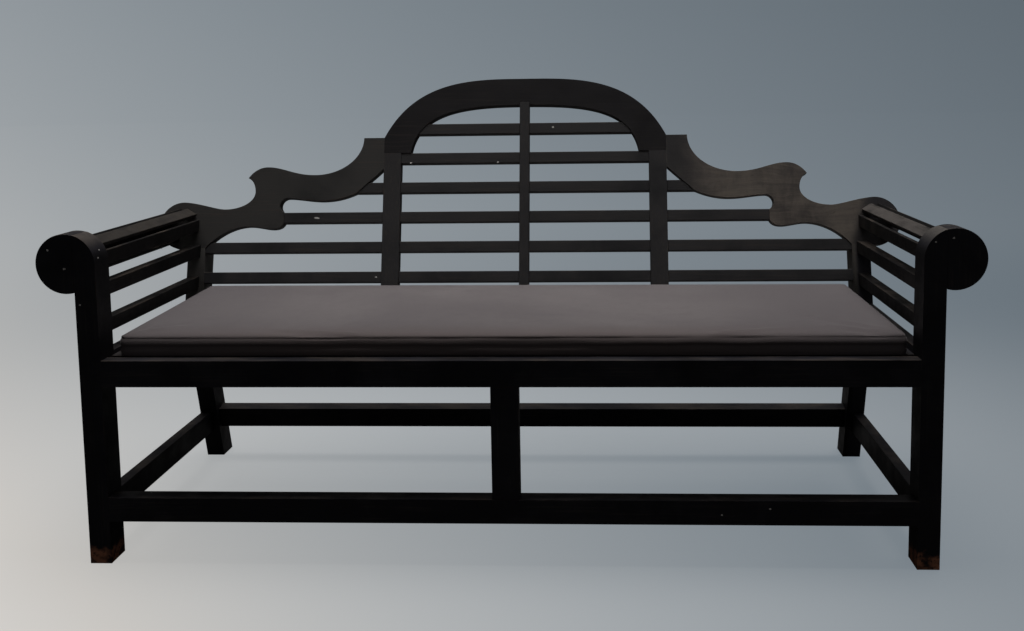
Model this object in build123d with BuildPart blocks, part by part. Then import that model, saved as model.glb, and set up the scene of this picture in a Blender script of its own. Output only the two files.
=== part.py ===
from build123d import *
import os
from math import acos, cos, degrees, radians, sin, sqrt, tan

os.makedirs("parts", exist_ok=True)

# A long garden-style daybed of painted hardwood: scrolled arms, a raked back with an
# arched crest and swept shoulders, low stretchers all round and one loose seat cushion.
# Millimetres. X runs along the seat, Y from front to back, Z up. The origin is on the
# floor, in the middle of the whole footprint.

# --- driving dimensions ------------------------------------------------------------

overall_width = 1950.0      # over the scroll discs of both arms
seat_h = 442.0              # top of the seat frame
knee_back = 585.0           # rear leg's bend, behind the front legs' front faces
knee_drop = 34.0            # that bend, below the seat frame's top
leg_splay = 16.5            # degrees that the rear leg slopes back towards the floor
back_rake = 16.0            # degrees that the back leans from upright

leg_w = 46.0                # legs, along X
leg_d = 66.0                # legs, front to back
disc_r = 63.0               # scroll disc at each end of an arm
disc_rise = 206.0           # its axis, above the seat frame's top

rail_h = 56.0               # seat rails
rail_t = 35.0
side_t = 27.0               # side rails and side and rear stretchers
side_inset = 2.0            # side rails, in from the legs' outer faces
stretcher_h = 52.0          # front stretcher
stretcher_t = 42.0
stretcher_z = 93.0
side_stretcher_z = 77.0
side_stretcher_h = 56.0      # side and rear stretchers
rear_stretcher_t = 30.0
rear_stretcher_mid_z = 115.0
strut_w = 58.0              # upright in the middle of the front

board_t = 28.0              # crest, shoulder boards and stiles of the back
stile_w = 46.0
stile_x = 353.0             # centre of each outer stile
centre_stile_w = 26.0
slat_h = 29.0               # back slats
slat_t = 24.0
slat_recess = 2.0           # slats' front faces, behind the boards' front faces
slat_first_s = 60.0         # bottom of the lowest slat, up the slope from the seat
slat_pitch = 79.4
slat_count = 6
slat_halving = 14.0         # depth that a stile keeps where a slat crosses it

crest_s = 608.0             # top of the arch, up the slope from the seat
crest_band = 72.0           # width of the arch at its top
arch_foot_w = 72.0
shoulder_s = 449.0          # flat shoulder beside the arch
shoulder_w = 55.0
cove_w = 129.0              # quarter-elliptical cove below the shoulder
cove_h = 100.0
swell_s = 371.5             # top of the swell beyond the cove
swell_in = 222.0            # ... in from the rear disc's axis
beak_s = 342.0              # beak at the swell's outer end
beak_in = 171.0
throat_s = 304.0            # undercut below the beak
throat_in = 191.5
wing_s = 257.5              # lowest point of the wing that runs to the disc
wing_in = 112.0
wing_turn = 5.0             # degrees before the disc's top where the wing runs into it
belly_s = 211.5             # lower edge of the board
belly_in = 179.0
heel_s = 204.0
heel_in = 240.0
toe_in = 271.0              # board's inner edge beside the third slat
bay_end_in = 280.0          # rounded end of the bay above the third slat
bay_end_s = 287.0
bay_in = 373.0              # lower edge of the board along that bay
bay_s = 279.0
brace_w = 71.0              # slanting edge from the bay to the stile
brace_foot_s = 300.0
brace_s = 364.0

# how far each curve of the boards' outlines follows its direction at either end
crest_pull = 135.8
haunch_pull = (-83.5, 163.8)
arch_pull = 153.5
arch_foot_pull = (-19.3, 119.9)
cove_pull, swell_pull = 60.0, 45.0
crown_pull, beak_pull = 22.0, (-11.0, 16.0)
beak_under_pull, throat_pull = (-14.0, -6.0), 16.0
wing_pull, disc_pull = 25.0, 44.0
foot_pull, belly_pull = (-31.0, 36.0), 42.0
belly_in_pull, heel_pull = 21.0, 20.0
heel_in_pull, toe_pull = 14.0, (6.0, -11.0)
bay_end_bulge = 11.5
bay_end_pull, bay_pull = 27.0, 36.0
bay_in_pull, brace_pull = 34.0, (28.0, -13.0)

arm_slat_h = 30.0           # flat slats below each arm
arm_slat_t = 26.0
arm_slat_x_inset = 12.0     # ... out from the legs' inner faces
arm_slat_rise = (46.0, 126.0)   # their lower edges, above the seat frame's top
roll_slat_w = 30.0          # slats laid round the arm's roll
roll_slat_t = 10.0
roll_apothem = 43.0         # disc axis to a roll slat's outer face
roll_angles = (90, 30, -30, -85, -145)   # from the top, towards the seat

arm_tenon_h = 10.0
arm_tenon_len = 15.0
bearer_w = 35.0             # cross bearers and end cleats below the seat slats
bearer_x = 425.0
cleat_w = 40.0
cleat_end_gap = 5.0         # cleat ends to the legs
seat_slat_count = 7
seat_slat_w = 64.0
seat_slat_t = 20.0
seat_slat_end_gap = 2.0     # slat ends to the legs' inner faces

cushion_end_gap = 21.0      # cushion's ends to the legs' inner faces
cushion_t = 48.0
cushion_front = 36.0        # behind the front legs' front faces
cushion_back_gap = 3.0      # to the back's front face at seat level
cushion_lift = 0.3          # clearance over the seat slats
cushion_corner = 18.0
cushion_edge = 8.0

tenon_len = 20.0
side_tenon_len = 25.0
tenon_t = 14.0
tenon_shoulder = 8.0        # above and below a tenon
rail_tenon_y = 10.0         # tenon's front face behind its rail's front face
housing = 8.0               # depth of plain housings
stile_tenon_h = 10.0
stile_tenon_inset = 6.0
post_top_s = 240.0          # top of the rear leg behind the shoulder board
peg_r = 4.0
peg_len = 58.0
peg_recess = 4.0            # pegs of the seat rail, in from the rear leg's sloping face
dowel_r = 4.0
dowel_len = 32.0
dowel_edge = 13.0           # dowels to the ends of the edge they join
fastener_gap = 0.1          # round pegs, dowels and screws in their holes
screw_r = 2.2
screw_head_r = 4.2
screw_head_h = 3.0
seat_screw_len = 38.0
seat_screw_end = 11.0       # outermost screws, in from the slats' ends
cleat_screw_len = 55.0
board_screw_len = 54.0
board_screw_edge = 21.0

# --- places worked out from them ---------------------------------------------------

splay, rake = radians(leg_splay), radians(back_rake)
disc_x = overall_width / 2 - disc_r
leg_in = disc_x - disc_r                  # the disc is tangent to the leg's inner face
leg_out = leg_in + leg_w
leg_mid = (leg_in + leg_out) / 2
rail_z = seat_h - rail_h
knee_z = seat_h - knee_drop
disc_z = seat_h + disc_rise

seat_back = knee_back + (seat_h - knee_z) * tan(rake)
foot_back = knee_back + knee_z * tan(splay) + leg_d / cos(splay)
crest_back = seat_back + crest_s * sin(rake) + board_t * cos(rake)
front = -max(foot_back, crest_back) / 2   # the front legs' front faces

back = Plane(
    origin=(0, front + seat_back, seat_h), x_dir=(1, 0, 0), z_dir=(0, -cos(rake), sin(rake))
)
disc_s = (disc_z - seat_h) / cos(rake)    # rear disc's axis, up the slope
chord = sqrt(disc_r**2 - (disc_x - leg_out) ** 2)   # half its height at leg_out
board_foot_s = disc_s - chord

slat_s = [slat_first_s + slat_pitch * i for i in range(slat_count)]
stile_out = stile_x + stile_w / 2
stile_in = stile_x - stile_w / 2
arch_foot_s = slat_s[4] + slat_h
arch_in = stile_out - arch_foot_w
swell_x, beak_x = disc_x - swell_in, disc_x - beak_in
toe_x = disc_x - toe_in
slat_half = [
    leg_in + housing,                     # the two lowest run from post to post
    leg_in + housing,
    toe_x + 2 * housing,                  # the next two end in the shoulder boards
    stile_out + brace_w + 2 * housing,
    stile_in + 2 * housing,               # then one between the outer stiles
    arch_in - housing,                    # and one inside the arch
]
outer_stiles_crossed = slat_count - 2


def block(xs, ys, zs, mode=Mode.ADD):
    """A box by its limits, with Y counted from the front legs' front faces."""
    with Locations((sum(xs) / 2, front + sum(ys) / 2, sum(zs) / 2)):
        Box(xs[1] - xs[0], ys[1] - ys[0], zs[1] - zs[0], mode=mode)


def on_back(xs, ss, depths, mode=Mode.ADD):
    """A box by its limits across, up the back's slope and behind its front face."""
    with Locations(back):
        with Locations((sum(xs) / 2, sum(ss) / 2, -sum(depths) / 2)):
            Box(xs[1] - xs[0], ss[1] - ss[0], depths[1] - depths[0], mode=mode)


def up_back(s, depth):
    """Y and Z of a point s up the back's slope and depth behind its front face."""
    y = front + seat_back + s * sin(rake) + depth * cos(rake)
    return y, seat_h + s * cos(rake) - depth * sin(rake)


def rear_leg_front(z):
    """How far back the rear leg's front face is at height z."""
    if z < knee_z:
        return knee_back + (knee_z - z) * tan(splay)
    return knee_back + (z - knee_z) * tan(rake)


def curve(start, start_pull, end, end_pull):
    """A curve that leaves one point and reaches the other along the given pulls."""
    leave = (start[0] + start_pull[0], start[1] + start_pull[1])
    reach = (end[0] + end_pull[0], end[1] + end_pull[1])
    return Bezier(start, leave, reach, end)


def pins(heads, radius, length, mode=Mode.ADD):
    """Round pins that run inwards from the given planes."""
    with Locations(*heads):
        Cylinder(radius, length, align=(Align.CENTER, Align.CENTER, Align.MAX), mode=mode)


def screws(heads, length, gap=0.0, mode=Mode.ADD):
    """Countersunk screws, or with a gap their holes, whose heads lie in the given planes."""
    pins(heads, screw_r + gap, length + gap, mode)
    with Locations(*heads):
        Cone(
            screw_r + gap,
            screw_head_r + gap,
            screw_head_h,
            align=(Align.CENTER, Align.CENTER, Align.MAX),
            mode=mode,
        )


def save(part, name):
    part.label = name
    export_step(part, f"parts/{name}.step")


def save_pair(right, name):
    """The right-hand piece and its mirror image."""
    save(right, f"{name}_right")
    with BuildPart() as left:
        mirror(right, about=Plane.YZ)
    save(left.part, f"{name}_left")


# --- where the fasteners go --------------------------------------------------------

rear_stretcher_back = rear_leg_front(rear_stretcher_mid_z) + leg_d / 2 / cos(splay)
rear_stretcher_mid = Plane(
    origin=(0, front + rear_stretcher_back, rear_stretcher_mid_z),
    x_dir=(1, 0, 0),
    z_dir=(0, cos(splay), sin(splay)),
)
rear_knee_z = (foot_back + knee_z * tan(rake) - knee_back - leg_d / cos(rake)) / (
    tan(splay) + tan(rake)
)
rear_knee_back = foot_back - rear_knee_z * tan(splay)

# oak pegs through the tenons, driven from behind (right-hand side)
peg_x = leg_in + tenon_len / 2
rail_mid_z = rail_z + rail_h / 2
rail_peg_back = rear_knee_back - peg_recess
peg_heads = [
    Plane((peg_x, front + leg_d, rail_mid_z), z_dir=(0, 1, 0)),
    Plane((peg_x, front + leg_d, stretcher_z + stretcher_h / 2), z_dir=(0, 1, 0)),
    Plane((peg_x, front + rail_peg_back, rail_mid_z), z_dir=(0, 1, 0)),
    Plane(
        rear_stretcher_mid.from_local_coords((peg_x, 0, leg_d / 2)),
        z_dir=rear_stretcher_mid.z_dir,
    ),
]

# dowels between the arch's foot, the outer stile and the shoulder board
mid_depth = -board_t / 2
dowel_heads = [
    Plane(
        back.from_local_coords((stile_x, arch_foot_s + dowel_len / 2, mid_depth)),
        z_dir=back.y_dir,
    )
]
for s in (brace_s + dowel_edge, shoulder_s - dowel_edge):
    dowel_heads.append(
        Plane(
            back.from_local_coords((stile_out + dowel_len / 2, s, mid_depth)),
            z_dir=(1, 0, 0),
        )
    )

# screws through the rear post into the shoulder board
board_screw_heads = []
for s in (board_foot_s + board_screw_edge, post_top_s - board_screw_edge):
    board_screw_heads.append(
        Plane(back.from_local_coords((leg_mid, s, -leg_d)), z_dir=-back.z_dir)
    )

# screws down through the seat slats, and between them from the cleats into the side rails
seat_slat_gap = (seat_back - rail_t - seat_slat_count * seat_slat_w) / (seat_slat_count + 1)
seat_slat_pitch = seat_slat_w + seat_slat_gap
seat_slat_y = [
    rail_t + seat_slat_gap + seat_slat_w / 2 + seat_slat_pitch * i
    for i in range(seat_slat_count)
]
seat_slat_half = leg_in - seat_slat_end_gap
seat_screw_x = seat_slat_half - seat_screw_end
slat_under_z = seat_h - seat_slat_t
side_out = leg_out - side_inset
side_in = side_out - side_t
side_mid = (side_in + side_out) / 2
cleat_in = side_in - cleat_w
cleat_screw_heads = [
    Plane(
        (cleat_in, front + y + seat_slat_pitch / 2, (rail_z + slat_under_z) / 2),
        z_dir=(-1, 0, 0),
    )
    for y in seat_slat_y[:-1]
]


def seat_screw_heads(x):
    return [Plane((x, front + y, seat_h), z_dir=(0, 0, 1)) for y in seat_slat_y]


# --- rails and stretchers ----------------------------------------------------------

side_tenon_x = (side_mid - tenon_t / 2, side_mid + tenon_t / 2)
rail_tenon_ys = (rail_tenon_y, rail_tenon_y + tenon_t)
strut_tenon_x = (tenon_shoulder - strut_w / 2, strut_w / 2 - tenon_shoulder)
rail_tenon_zs = (rail_z + tenon_shoulder, seat_h - tenon_shoulder)
stretcher_top = stretcher_z + stretcher_h
stretcher_tenon_ys = (
    (stretcher_t - tenon_t) / 2,
    (stretcher_t + tenon_t) / 2,
)

with BuildPart() as centre_strut:
    block((-strut_w / 2, strut_w / 2), (0, stretcher_t), (stretcher_top, rail_z))
    block(strut_tenon_x, rail_tenon_ys, (rail_z, rail_z + tenon_len))
    block(strut_tenon_x, stretcher_tenon_ys, (stretcher_top - tenon_len, stretcher_top))
save(centre_strut.part, "centre_strut")

bearers = []
for x in (-bearer_x, 0, bearer_x):
    with BuildPart() as bearer:
        block(
            (x - bearer_w / 2, x + bearer_w / 2),
            (rail_t - housing, seat_back + housing),
            (rail_z, slat_under_z),
        )
        screws(seat_screw_heads(x), seat_screw_len, fastener_gap, Mode.SUBTRACT)
    bearers.append(bearer.part)
for name, bearer_part in zip(("left", "centre", "right"), bearers):
    save(bearer_part, f"seat_bearer_{name}")

with BuildPart() as front_rail:
    block((-leg_in, leg_in), (0, rail_t), (rail_z, seat_h))
    block((-leg_in - tenon_len, leg_in + tenon_len), rail_tenon_ys, rail_tenon_zs)
    add(centre_strut.part, mode=Mode.SUBTRACT)
    for bearer_part in bearers:
        add(bearer_part, mode=Mode.SUBTRACT)
    pins(peg_heads[:1], peg_r + fastener_gap, peg_len, Mode.SUBTRACT)
    split(bisect_by=Plane.YZ)
    mirror(about=Plane.YZ)
save(front_rail.part, "front_seat_rail")

with BuildPart() as front_stretcher:
    block((-leg_in, leg_in), (0, stretcher_t), (stretcher_z, stretcher_top))
    block(
        (-leg_in - tenon_len, leg_in + tenon_len),
        stretcher_tenon_ys,
        (stretcher_z + tenon_shoulder, stretcher_top - tenon_shoulder),
    )
    add(centre_strut.part, mode=Mode.SUBTRACT)
    pins(peg_heads[1:2], peg_r + fastener_gap, peg_len, Mode.SUBTRACT)
    split(bisect_by=Plane.YZ)
    mirror(about=Plane.YZ)
save(front_stretcher.part, "front_stretcher")

with BuildPart() as rear_stretcher:
    with Locations(rear_stretcher_mid):
        Box(2 * leg_in, side_stretcher_h, rear_stretcher_t)
        Box(2 * (leg_in + tenon_len), side_stretcher_h - 2 * tenon_shoulder, tenon_t)
    pins(peg_heads[3:], peg_r + fastener_gap, peg_len, Mode.SUBTRACT)
    split(bisect_by=Plane.YZ)
    mirror(about=Plane.YZ)
save(rear_stretcher.part, "rear_stretcher")

# --- back slats and stiles ---------------------------------------------------------

stile_xs = (stile_in, stile_out)
centre_xs = (-centre_stile_w / 2, centre_stile_w / 2)
slat_depths = (slat_recess, slat_recess + slat_t)
back_slats = []
for i, (s, half) in enumerate(zip(slat_s, slat_half)):
    with BuildPart() as back_slat:
        on_back((-half, half), (s, s + slat_h), slat_depths)
        on_back(centre_xs, (s, s + slat_h), (0, slat_halving), Mode.SUBTRACT)
        if i < outer_stiles_crossed:
            on_back(stile_xs, (s, s + slat_h), (0, slat_halving), Mode.SUBTRACT)
            split(bisect_by=Plane.YZ)
            mirror(about=Plane.YZ)
    save(back_slat.part, f"back_slat_{i + 1}")
    back_slats.append(back_slat.part)


def stile(xs, top, tenon_xs, slats_crossed):
    """An upright of the back: tenoned into the rear rail and notched behind for slats."""
    tenon_ys = (seat_back + tenon_shoulder, seat_back + tenon_shoulder + tenon_t)
    on_back(xs, (-stile_tenon_h, top), (0, board_t))
    block(xs, (0, seat_back + rail_t), (rail_z, seat_h), Mode.SUBTRACT)
    block(tenon_xs, tenon_ys, (seat_h - stile_tenon_h, seat_h + tenon_shoulder))
    for s in slat_s[:slats_crossed]:
        on_back(xs, (s, s + slat_h), (slat_halving, board_t), Mode.SUBTRACT)


arch_under_s = crest_s - crest_band
with BuildPart() as centre_stile:
    tenon_xs = (centre_xs[0] + stile_tenon_inset, centre_xs[1] - stile_tenon_inset)
    stile(centre_xs, arch_under_s + housing, tenon_xs, slat_count)
save(centre_stile.part, "back_stile_centre")

with BuildPart() as outer_stile:
    tenon_xs = (stile_in + stile_tenon_inset, stile_out - stile_tenon_inset)
    stile(stile_xs, arch_foot_s, tenon_xs, outer_stiles_crossed)
    add(back_slats[outer_stiles_crossed], mode=Mode.SUBTRACT)
    pins(dowel_heads, dowel_r + fastener_gap, dowel_len, Mode.SUBTRACT)
save_pair(outer_stile.part, "back_stile")

with BuildPart() as rear_rail:
    block((-leg_in, leg_in), (seat_back, seat_back + rail_t), (rail_z, seat_h))
    block(
        (-leg_in - tenon_len, leg_in + tenon_len),
        (seat_back + rail_tenon_y, seat_back + rail_tenon_y + tenon_t),
        rail_tenon_zs,
    )
    add(centre_stile.part, mode=Mode.SUBTRACT)
    add(outer_stile.part, mode=Mode.SUBTRACT)
    add(bearers[1], mode=Mode.SUBTRACT)
    add(bearers[2], mode=Mode.SUBTRACT)
    pins(peg_heads[2:3], peg_r + fastener_gap, peg_len, Mode.SUBTRACT)
    split(bisect_by=Plane.YZ)
    mirror(about=Plane.YZ)
save(rear_rail.part, "rear_seat_rail")

# --- arched crest ------------------------------------------------------------------

with BuildPart() as crest_arch:
    with BuildSketch(back):
        with BuildLine():
            curve((0, crest_s), (crest_pull, 0), (stile_out, shoulder_s), haunch_pull)
            Line((stile_out, shoulder_s), (stile_out, arch_foot_s))
            Line((stile_out, arch_foot_s), (arch_in, arch_foot_s))
            curve((0, arch_under_s), (arch_pull, 0), (arch_in, arch_foot_s), arch_foot_pull)
            mirror(about=Plane.YZ)
        make_face()
    extrude(amount=-board_t)
    add(centre_stile.part, mode=Mode.SUBTRACT)
    add(back_slats[-1], mode=Mode.SUBTRACT)
    pins(dowel_heads, dowel_r + fastener_gap, dowel_len, Mode.SUBTRACT)
    split(bisect_by=Plane.YZ)
    mirror(about=Plane.YZ)
save(crest_arch.part, "crest_arch")

# --- slats of the arm (right-hand side) --------------------------------------------

with BuildPart() as leg_blank:
    with BuildSketch(Plane.YZ.offset(leg_in)):
        with BuildLine():
            Polyline(
                (front + rear_leg_front(0), 0),
                (front + knee_back, knee_z),
                up_back(post_top_s, 0),
                up_back(post_top_s, leg_d),
                (front + rear_knee_back, rear_knee_z),
                (front + foot_back, 0),
                close=True,
            )
        make_face()
    extrude(amount=leg_w)

roll_slats = []
for i, angle in enumerate(roll_angles):
    a = radians(angle)
    mid_r = roll_apothem - roll_slat_t / 2
    roll_slat_plane = Plane(
        origin=(disc_x - mid_r * sin(a), front + leg_d - housing, disc_z + mid_r * cos(a)),
        x_dir=(-cos(a), 0, -sin(a)),
        z_dir=(0, 1, 0),
    )
    with BuildPart() as roll_slat:
        with BuildSketch(roll_slat_plane):
            Rectangle(roll_slat_w, roll_slat_t)
        extrude(amount=knee_back + leg_d)
        split(bisect_by=back.offset(-housing), keep=Keep.TOP)
    roll_slats.append(roll_slat.part)
    save_pair(roll_slat.part, f"roll_slat_{i + 1}")

arm_slat_x = leg_in + arm_slat_x_inset
arm_slats = []
for name, rise in zip(("lower", "upper"), arm_slat_rise):
    z = seat_h + rise
    mid = z + arm_slat_h / 2
    with BuildPart() as arm_slat:
        block(
            (arm_slat_x, arm_slat_x + arm_slat_t),
            (leg_d, rear_leg_front(z + arm_slat_h) + tenon_shoulder),
            (z, z + arm_slat_h),
        )
        split(bisect_by=back, keep=Keep.TOP)
        tenon_x = arm_slat_x + arm_slat_t / 2
        block(
            (tenon_x - tenon_t / 2, tenon_x + tenon_t / 2),
            (leg_d - arm_tenon_len, rear_leg_front(mid) + arm_tenon_len),
            (mid - arm_tenon_h / 2, mid + arm_tenon_h / 2),
        )
    arm_slats.append(arm_slat.part)
    save_pair(arm_slat.part, f"arm_slat_{name}")

# --- side rails, cleats and side stretchers ----------------------------------------


def side_bar(z_low, z_high):
    """A bar between the legs of one end: shouldered to the rear leg, tenoned into both."""
    low, high = z_low + tenon_shoulder, z_high - tenon_shoulder
    shoulder = max(rear_leg_front(z_low), rear_leg_front(z_high))
    tenon_back = rear_leg_front((z_low + z_high) / 2) + side_tenon_len
    block((side_in, side_out), (leg_d, shoulder + tenon_shoulder), (z_low, z_high))
    add(leg_blank.part, mode=Mode.SUBTRACT)
    block(side_tenon_x, (leg_d - side_tenon_len, tenon_back), (low, high))


with BuildPart() as side_rail:
    side_bar(rail_z, seat_h)
    screws(cleat_screw_heads, cleat_screw_len, fastener_gap, Mode.SUBTRACT)
save_pair(side_rail.part, "side_seat_rail")

with BuildPart() as side_stretcher:
    side_bar(side_stretcher_z, side_stretcher_z + side_stretcher_h)
save_pair(side_stretcher.part, "side_stretcher")

with BuildPart() as cleat:
    block(
        (cleat_in, side_in),
        (leg_d + cleat_end_gap, knee_back - cleat_end_gap),
        (rail_z, slat_under_z),
    )
    screws(cleat_screw_heads, cleat_screw_len, fastener_gap, Mode.SUBTRACT)
    screws(seat_screw_heads(seat_screw_x), seat_screw_len, fastener_gap, Mode.SUBTRACT)
save_pair(cleat.part, "seat_cleat")

# --- shoulder boards with their scrolled discs -------------------------------------

shoulder_x = stile_out + shoulder_w
cove_x, cove_low_s = shoulder_x + cove_w, shoulder_s - cove_h
swell_x, beak_x = disc_x - swell_in, disc_x - beak_in
throat_x, wing_x = disc_x - throat_in, disc_x - wing_in
belly_x, heel_x = disc_x - belly_in, disc_x - heel_in
bay_end_x, bay_x = disc_x - bay_end_in, disc_x - bay_in
brace_x = stile_out + brace_w
toe_s, toe_top_s = slat_s[2], slat_s[2] + slat_h
turn = radians(wing_turn)
disc_join = (disc_x - disc_r * sin(turn), disc_s + disc_r * cos(turn))
foot_angle = degrees(acos((leg_out - disc_x) / disc_r))

with BuildPart() as back_scroll:
    with BuildSketch(back):
        with BuildLine():
            Polyline(
                (stile_out, brace_s), (stile_out, shoulder_s), (shoulder_x, shoulder_s)
            )
            EllipticalCenterArc((cove_x, shoulder_s), cove_w, cove_h, 180, arc_size=90)
            curve(
                (cove_x, cove_low_s), (cove_pull, 0), (swell_x, swell_s), (-swell_pull, 0)
            )
            curve((swell_x, swell_s), (crown_pull, 0), (beak_x, beak_s), beak_pull)
            curve((beak_x, beak_s), beak_under_pull, (throat_x, throat_s), (0, throat_pull))
            EllipticalCenterArc(
                (wing_x, throat_s), wing_x - throat_x, throat_s - wing_s, 180, arc_size=90
            )
            curve(
                (wing_x, wing_s),
                (wing_pull, 0),
                disc_join,
                (-disc_pull * cos(turn), -disc_pull * sin(turn)),
            )
            CenterArc((disc_x, disc_s), disc_r, 90 + wing_turn, -90 - wing_turn - foot_angle)
            Line((leg_out, board_foot_s), (leg_in, board_foot_s))
            curve((leg_in, board_foot_s), foot_pull, (belly_x, belly_s), (belly_pull, 0))
            curve((belly_x, belly_s), (-belly_in_pull, 0), (heel_x, heel_s), (heel_pull, 0))
            curve((heel_x, heel_s), (-heel_in_pull, 0), (toe_x, toe_s), toe_pull)
            Line((toe_x, toe_s), (toe_x, toe_top_s))
            ThreePointArc(
                (toe_x, toe_top_s),
                (toe_x + bay_end_bulge, (toe_top_s + bay_end_s) / 2),
                (bay_end_x, bay_end_s),
            )
            curve((bay_end_x, bay_end_s), (-bay_end_pull, 0), (bay_x, bay_s), (bay_pull, 0))
            curve((bay_x, bay_s), (-bay_in_pull, 0), (brace_x, brace_foot_s), brace_pull)
            Line((brace_x, brace_foot_s), (stile_out, brace_s))
        make_face()
    extrude(amount=-board_t)
    for slat in back_slats[1:4] + roll_slats + arm_slats:
        add(slat, mode=Mode.SUBTRACT)
    pins(dowel_heads, dowel_r + fastener_gap, dowel_len, Mode.SUBTRACT)
    screws(board_screw_heads, board_screw_len, fastener_gap, Mode.SUBTRACT)
save_pair(back_scroll.part, "back_scroll")

# --- legs --------------------------------------------------------------------------

with BuildPart() as rear_leg:
    add(leg_blank.part)
    on_back((leg_in, leg_out), (board_foot_s, post_top_s), (0, board_t), Mode.SUBTRACT)
    for piece in (
        [rear_rail.part, rear_stretcher.part, side_rail.part, side_stretcher.part]
        + arm_slats
        + back_slats[:2]
    ):
        add(piece, mode=Mode.SUBTRACT)
    pins(peg_heads[2:], peg_r + fastener_gap, peg_len, Mode.SUBTRACT)
    pins([peg_heads[2].offset(leg_d)], peg_r + fastener_gap, leg_d, Mode.SUBTRACT)
    screws(board_screw_heads, board_screw_len, fastener_gap, Mode.SUBTRACT)
save_pair(rear_leg.part, "rear_leg")

# the front leg ends in the inner part of a disc, and the cheek completes it
disc_plane = Plane.XZ.offset(-front)
with BuildPart() as front_leg:
    with BuildSketch(disc_plane):
        with Locations((disc_x, disc_z)):
            Circle(disc_r)
        with Locations((leg_out, disc_z)):
            Rectangle(disc_r * 2, disc_r * 2, align=(Align.MIN, Align.CENTER), mode=Mode.SUBTRACT)
        with Locations((leg_in, 0)):
            Rectangle(leg_w, disc_z, align=(Align.MIN, Align.MIN))
    extrude(amount=-leg_d)
    for piece in (
        [front_rail.part, front_stretcher.part, side_rail.part, side_stretcher.part]
        + arm_slats
        + roll_slats[:2]
    ):
        add(piece, mode=Mode.SUBTRACT)
    pins(peg_heads[:2], peg_r + fastener_gap, peg_len, Mode.SUBTRACT)
save_pair(front_leg.part, "front_leg")

with BuildPart() as arm_cheek:
    with BuildSketch(disc_plane):
        with Locations((disc_x, disc_z)):
            Circle(disc_r)
        with Locations((leg_out, disc_z)):
            Rectangle(disc_r * 2, disc_r * 2, align=(Align.MAX, Align.CENTER), mode=Mode.SUBTRACT)
    extrude(amount=-leg_d)
    for slat in roll_slats[1:]:
        add(slat, mode=Mode.SUBTRACT)
save_pair(arm_cheek.part, "arm_cheek")

# --- seat slats --------------------------------------------------------------------

for i, y in enumerate(seat_slat_y):
    with BuildPart() as seat_slat:
        block(
            (-seat_slat_half, seat_slat_half),
            (y - seat_slat_w / 2, y + seat_slat_w / 2),
            (slat_under_z, seat_h),
        )
        heads = [
            Plane((x, front + y, seat_h), z_dir=(0, 0, 1))
            for x in (-seat_screw_x, -bearer_x, 0, bearer_x, seat_screw_x)
        ]
        screws(heads, seat_screw_len, fastener_gap, Mode.SUBTRACT)
    save(seat_slat.part, f"seat_slat_{i + 1}")

# --- fasteners ---------------------------------------------------------------------

with BuildPart() as seat_slat_screws:
    for x in (-seat_screw_x, -bearer_x, 0, bearer_x, seat_screw_x):
        screws(seat_screw_heads(x), seat_screw_len)
save(seat_slat_screws.part, "seat_slat_screws")

with BuildPart() as cleat_screws:
    screws(cleat_screw_heads, cleat_screw_len)
    mirror(about=Plane.YZ)
save(cleat_screws.part, "cleat_screws")

with BuildPart() as tenon_pegs:
    pins(peg_heads, peg_r, peg_len)
    mirror(about=Plane.YZ)
save(tenon_pegs.part, "tenon_pegs")

with BuildPart() as crest_dowels:
    pins(dowel_heads, dowel_r, dowel_len)
    mirror(about=Plane.YZ)
save(crest_dowels.part, "crest_dowels")

with BuildPart() as board_screws:
    screws(board_screw_heads, board_screw_len)
    mirror(about=Plane.YZ)
save(board_screws.part, "board_screws")

# --- cushion -----------------------------------------------------------------------

cushion_half = leg_in - cushion_end_gap
with BuildPart() as cushion:
    block(
        (-cushion_half, cushion_half),
        (cushion_front, seat_back - cushion_back_gap),
        (seat_h + cushion_lift, seat_h + cushion_lift + cushion_t),
    )
    fillet(cushion.edges().filter_by(Axis.Z), cushion_corner)
    fillet(cushion.faces().filter_by(Axis.Z).edges(), cushion_edge)
save(cushion.part, "seat_cushion")
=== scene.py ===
import math
import random

import bmesh
import bpy
from mathutils import Matrix, Vector, noise
from mathutils.bvhtree import BVHTree


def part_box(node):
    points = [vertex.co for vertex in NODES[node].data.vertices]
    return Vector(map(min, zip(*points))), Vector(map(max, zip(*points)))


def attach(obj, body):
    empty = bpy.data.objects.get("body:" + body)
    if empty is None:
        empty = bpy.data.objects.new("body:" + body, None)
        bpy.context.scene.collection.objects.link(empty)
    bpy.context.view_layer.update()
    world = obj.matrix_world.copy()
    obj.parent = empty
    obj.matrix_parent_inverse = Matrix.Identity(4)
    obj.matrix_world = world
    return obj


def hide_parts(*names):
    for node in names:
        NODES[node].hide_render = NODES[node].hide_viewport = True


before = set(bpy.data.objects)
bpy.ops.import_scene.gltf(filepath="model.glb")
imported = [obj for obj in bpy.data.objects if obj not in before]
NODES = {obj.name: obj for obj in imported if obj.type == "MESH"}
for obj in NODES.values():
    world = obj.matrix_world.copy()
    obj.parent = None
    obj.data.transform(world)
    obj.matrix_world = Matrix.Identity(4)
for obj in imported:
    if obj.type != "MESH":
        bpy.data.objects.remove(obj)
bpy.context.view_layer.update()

scene = bpy.context.scene
scene.view_settings.view_transform = "Standard"

# --- sizes, in metres ---------------------------------------------------------------

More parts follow.
